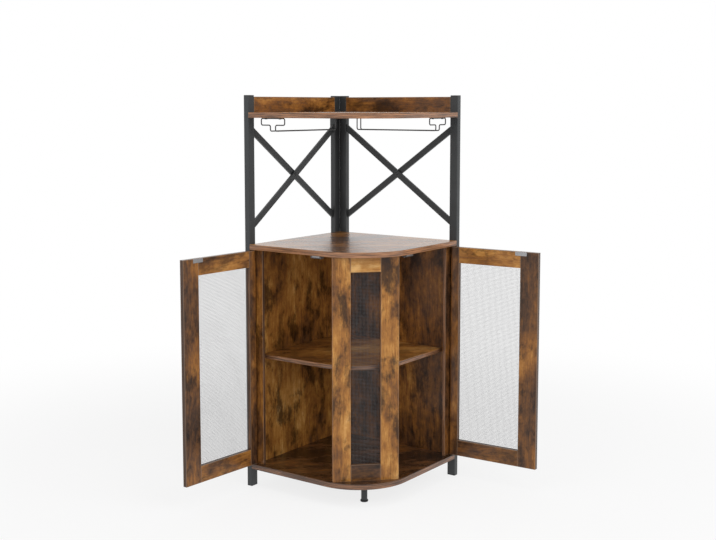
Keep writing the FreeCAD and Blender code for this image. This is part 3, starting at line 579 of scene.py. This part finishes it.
def wire_material():
    """Dull dark wire whose grey and sheen change from place to place."""
    material, graph, shader = new_material("woven_steel_wire")
    coords = graph.add("ShaderNodeTexCoord").outputs["Object"]
    change = graph.noise(graph.scaled(coords, (WIRE_SCALE,) * 3), detail=3.0)
    graph.feed(shader.inputs["Base Color"], graph.ramp(change, WIRE_TONES))
    graph.feed(shader.inputs["Roughness"], graph.spread(change, *WIRE_ROUGHNESS))
    shader.inputs["Metallic"].default_value = WIRE_METALLIC
    return material


def flat_axes(node):
    """Middle, horizontal direction along the sheet, and half sizes of an upright flat node."""
    points = node_points(node)
    middle = (points.min(0) + points.max(0)) / 2
    level = points[:, :2] - middle[:2]
    along = np.linalg.eigh(level.T @ level)[1][:, 1]        # the direction of the widest spread
    half_w = np.abs(level @ along).max()
    half_h = (points[:, 2].max() - points[:, 2].min()) / 2
    return Vector(middle), Vector((along[0], along[1], 0.0)), half_w, half_h


def wire_rings(line, side_a, side_b):
    """Rings of points round each point of many lines: lines x points x sides x 3."""
    turns = (np.arange(WIRE_SIDES) + 0.5) * 2 * math.pi / WIRE_SIDES
    ring = np.cos(turns)[:, None] * side_a[None, :] + np.sin(turns)[:, None] * side_b[None, :]
    return line[:, :, None, :] + ring[None, None, :, :] * (WIRE_D / 2)


def ring_faces(lines, points, start):
    """Quads between neighbouring rings, and the caps at the ends of each line."""
    base = np.arange(lines)[:, None, None] * points * WIRE_SIDES + start
    step = np.arange(points - 1)[None, :, None] * WIRE_SIDES
    side = np.arange(WIRE_SIDES)[None, None, :]
    after = (side + 1) % WIRE_SIDES
    low = base + step
    high = low + WIRE_SIDES
    quads = np.stack([low + side, low + after, high + after, high + side], axis=-1).reshape(-1, 4)
    first = base[:, 0, 0][:, None] + np.arange(WIRE_SIDES)[None, ::-1]
    last = base[:, 0, 0][:, None] + (points - 1) * WIRE_SIDES + np.arange(WIRE_SIDES)[None, :]
    return quads.tolist() + first.tolist() + last.tolist()


def spaced(count, half):
    """Places of evenly spaced wires from -half to half, half a pitch from its ends."""
    return (np.arange(count) + 0.5) / count * 2 * half - half


def woven(node, material):
    """Plain-weave wire cloth in the place of a mesh node."""
    middle, along, half_w, half_h = flat_axes(node)
    normal = np.array(UP.cross(along))
    across = np.array(along)
    upward = np.array(UP)
    columns = round(2 * half_w / MESH_PITCH)
    rows = round(2 * half_h / MESH_PITCH)
    across_at = spaced(columns, half_w)
    upward_at = spaced(rows, half_h)
    weave = ((np.arange(columns)[:, None] + np.arange(rows)[None, :]) % 2 * 2 - 1) * WIRE_D / 2
    crossing = np.array(middle) + across_at[:, None, None] * across + upward_at[None, :, None] * upward
    standing = crossing + weave[:, :, None] * normal
    lying = (crossing - weave[:, :, None] * normal).transpose(1, 0, 2)
    rings_a = wire_rings(standing, across, normal)
    rings_b = wire_rings(lying, normal, upward)
    points = np.concatenate([rings_a.reshape(-1, 3), rings_b.reshape(-1, 3)])
    faces = ring_faces(columns, rows, 0) + ring_faces(rows, columns, columns * rows * WIRE_SIDES)
    cloth = new_piece("woven_" + node, points.tolist(), faces, material)
    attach(cloth, NODES[node]["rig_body"])
    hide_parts(node)


def dress(node, material):
    """Gives a node one material."""
    slots = NODES[node].data.materials
    slots.clear()
    slots.append(material)


def dress_boards():
    """Every board gets the print with its own grain, place in the pattern and tone."""
    group = print_group()
    straight = dict(STRAIGHT_BOARDS)
    for side, boards in DOOR_BOARDS.items():
        along = flat_axes(side + "mesh")[1]
        through = UP.cross(along)
        for board, looks in boards.items():
            grain = UP if board.endswith("stile") else along
            straight[side + board] = (grain, through, *looks)
    everything = {**ROUNDED_BOARDS, **straight}
    for seed, (node, looks) in enumerate(everything.items(), start=1):
        dress(node, rustic(node, group, seed, *looks, straight=node in straight))


def dress_hardware():
    """Coats, plastics and plated parts by the record's material slots."""
    looks = {slot: coated(*values) for slot, values in COATS.items()}
    for row in frame["record"]["subparts"]:
        if row["material_slot"] in looks:
            dress(row["node"], looks[row["material_slot"]])


def make_meshes():
    """Woven wire in the place of the three mesh sheets."""
    material = wire_material()
    for node in MESH_NODES:
        woven(node, material)


def solids_of(node):
    """Point arrays of the separate solids in a node."""
    points = node_points(node)
    places = {}
    keys = [tuple(key) for key in np.round(points, SAME_DIGITS)]
    same = [places.setdefault(key, index) for index, key in enumerate(keys)]
    owner = list(range(len(points)))

    def head(index):
        while owner[index] != index:
            owner[index] = owner[owner[index]]
            index = owner[index]
        return index

    for edge in NODES[node].data.edges:
        first, second = (head(same[index]) for index in edge.vertices)
        owner[first] = second
    groups = {}
    for index in range(len(points)):
        groups.setdefault(head(same[index]), []).append(index)
    return [points[indices] for indices in groups.values()]


def turned_axis(points):
    """The axis about which a fastener is round."""
    def lopsided(axis):
        side = axis.orthogonal().normalized()
        other = axis.cross(side)
        return abs(np.ptp(points @ np.array(side)) - np.ptp(points @ np.array(other)))

    return min(HEAD_AXES, key=lopsided)


def measured(points, kind):
    """A plain pin's axis towards its head, the place of its seat, and its sizes for fastener_rings."""
    axis = turned_axis(points)
    direction = np.array(axis)
    middle = (points.min(0) + points.max(0)) / 2
    height = (points - middle) @ direction
    radius = np.linalg.norm(points - middle - height[:, None] * direction, axis=1)
    head_r = radius.max()
    rim = height[radius > RIM_SHARE * head_r]
    if rim.mean() < 0:
        axis = -axis
        direction = -direction
        height = -height
        rim = -rim
    if kind == "rivet":
        seat = rim[rim > 0].min()
        bottom = -seat
        shank_r = RIVET_SHANK * head_r
    else:
        seat = rim.min()
        bottom = height.min()
        shank_r = radius[np.abs(height - bottom) < SAME_HEIGHT].max()
    return axis, middle + direction * seat, (shank_r, seat - bottom, head_r, height.max() - seat)


def hex_radius(angle, flat):
    """Reach of a hexagon, its flats flat from the middle, at an angle."""
    sixth = math.pi / 3
    return flat / math.cos((angle % sixth) - sixth / 2)


def cross_radius(angle, reach, half_w):
    """Reach of a cross recess at an angle."""
    along = max(abs(math.cos(angle)), TINY)
    aside = max(abs(math.sin(angle)), TINY)
    return max(min(reach / along, half_w / aside), min(reach / aside, half_w / along))


def dome(radius, inner, low, high):
    """Rings of a rounded head from its rim to its flat top."""
    rings = []
    for step in range(DOME_STEPS + 1):
        turn = step * math.pi / 2 / DOME_STEPS
        rings.append((low + (high - low) * math.sin(turn), inner + (radius - inner) * math.cos(turn)))
    return rings


def fastener_rings(kind, shank_r, length, head_r, head_t):
    """Rings from the shank's end to the drive's floor.

    Each is a height above the seat, and a radius or a function that gives one for each angle.
    """
    if kind == "rivet":
        near = dome(head_r, head_r * RIVET_TOP, head_t * RIVET_RIM, head_t)
        far = [(-length - level, radius) for level, radius in reversed(near)]
        shank = [(-length, head_r), (-length, shank_r), (0.0, shank_r), (0.0, head_r)]
        return far + shank + near
    tip = [(-length, shank_r * SHANK_TIP), (shank_r * SHANK_TAPER - length, shank_r)]
    seat = [(0.0, shank_r), (0.0, head_r)]
    head = dome(head_r, head_r * HEAD_TOP, head_t * HEAD_RIM, head_t)
    if kind == "hex":
        recess = partial(hex_radius, flat=head_r * HEX_FLAT)
    else:
        recess = partial(cross_radius, reach=head_r * CROSS_REACH, half_w=head_r * CROSS_HALF)
    return tip + seat + head + [(head_t, recess), (head_t * DRIVE_FLOOR, recess)]


def add_turned(vertices, faces, axis, seat, rings):
    """Adds the closed skin over rings about an axis to the lists."""
    direction = np.array(axis)
    side = np.array(axis.orthogonal().normalized())
    other = np.cross(direction, side)
    start = len(vertices)
    for level, reach in rings:
        for turn in TURNS:
            out = reach(turn) if callable(reach) else reach
            spoke = side * math.cos(turn) + other * math.sin(turn)
            vertices.append(tuple(seat + direction * level + spoke * out))
    for ring in range(len(rings) - 1):
        low = start + ring * TURN_SIDES
        high = low + TURN_SIDES
        for step in range(TURN_SIDES):
            after = (step + 1) % TURN_SIDES
            faces.append((low + step, low + after, high + after, high + step))
    last = start + (len(rings) - 1) * TURN_SIDES
    faces.append(tuple(range(start + TURN_SIDES - 1, start - 1, -1)))
    faces.append(tuple(range(last, last + TURN_SIDES)))


def fasteners(node, kind):
    """Turned heads with their drives in the place of a node's plain pins."""
    vertices = []
    faces = []
    for points in solids_of(node):
        axis, seat, sizes = measured(points, kind)
        add_turned(vertices, faces, axis, seat, fastener_rings(kind, *sizes))
    piece = new_piece("turned_" + node, vertices, faces, NODES[node].data.materials[0])
    shade_smooth(piece.data, HEAD_SMOOTH)
    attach(piece, NODES[node]["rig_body"])
    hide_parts(node)


def seen_white(graph):
    """1 for rays that show the background in the picture or in a reflection."""
    path = graph.add("ShaderNodeLightPath").outputs
    seen = graph.math("MAXIMUM", path["Is Camera Ray"], path["Is Glossy Ray"])
    return graph.math("MAXIMUM", seen, path["Is Transmission Ray"])


def make_world():
    """White world that lights the object less than it shows."""
    world = bpy.data.worlds.new("studio")
    bpy.context.scene.world = world
    world.use_nodes = True
    graph = Graph(world.node_tree)
    ground = world.node_tree.nodes["Background"]
    ground.inputs["Color"].default_value = WHITE
    strength = graph.spread(seen_white(graph), 0.0, 1.0, WORLD_LIGHT, WORLD_SEEN)
    graph.feed(ground.inputs["Strength"], strength)


def make_floor():
    """Pale floor that keeps a soft shadow and turns white away from the object."""
    bpy.ops.mesh.primitive_plane_add(size=FLOOR_SIZE, location=FLOOR_PLACE)
    floor = bpy.context.object
    floor.name = "floor"
    material, graph, shader = new_material("pale_floor")
    shader.inputs["Base Color"].default_value = FLOOR_COLOUR
    shader.inputs["Roughness"].default_value = FLOOR_ROUGHNESS
    coords = graph.add("ShaderNodeTexCoord").outputs["Object"]
    distance = graph.add("ShaderNodeVectorMath", operation="LENGTH")
    graph.feed(distance.inputs[0], coords)
    share = graph.spread(distance.outputs["Value"], *FLOOR_FADE, smooth=True)
    glow = graph.add("ShaderNodeEmission")
    blend = graph.add("ShaderNodeMixShader")
    graph.feed(blend.inputs[0], graph.math("MULTIPLY", seen_white(graph), share))
    graph.feed(blend.inputs[1], shader.outputs[0])
    graph.feed(blend.inputs[2], glow.outputs[0])
    graph.feed(material.node_tree.nodes["Material Output"].inputs["Surface"], blend.outputs[0])
    floor.data.materials.append(material)


def make_lights():
    """Soft square area lights, turned to the object's middle and not mirrored in it."""
    for name, place, size, power in LIGHTS:
        lamp = bpy.data.lights.new(name, "AREA")
        lamp.size = size
        lamp.energy = power
        holder = bpy.data.objects.new(name, lamp)
        holder.location = place
        holder.rotation_mode = "QUATERNION"
        holder.rotation_quaternion = (LIGHT_AIM - Vector(place)).to_track_quat("-Z", "Y")
        holder.visible_glossy = False
        bpy.context.scene.collection.objects.link(holder)


def make_camera():
    """Camera at the photograph's place."""
    data = bpy.data.cameras.new("camera")
    data.sensor_width = CAMERA_SENSOR
    data.lens = CAMERA_LENS
    data.shift_y = CAMERA_SHIFT
    camera = bpy.data.objects.new("camera", data)
    camera.location = CAMERA_PLACE
    camera.rotation_euler = (math.radians(90 - CAMERA_PITCH), 0.0, -math.radians(CAMERA_YAW))
    bpy.context.scene.collection.objects.link(camera)
    bpy.context.scene.camera = camera


bpy.context.scene.view_settings.view_transform = "Standard"
for node in NODES.values():
    shade_smooth(node.data, NODE_SMOOTH)
dress_boards()
dress_hardware()
make_meshes()
for name, kind in FASTENERS.items():
    fasteners(name, kind)
make_world()
make_floor()
make_lights()
make_camera()
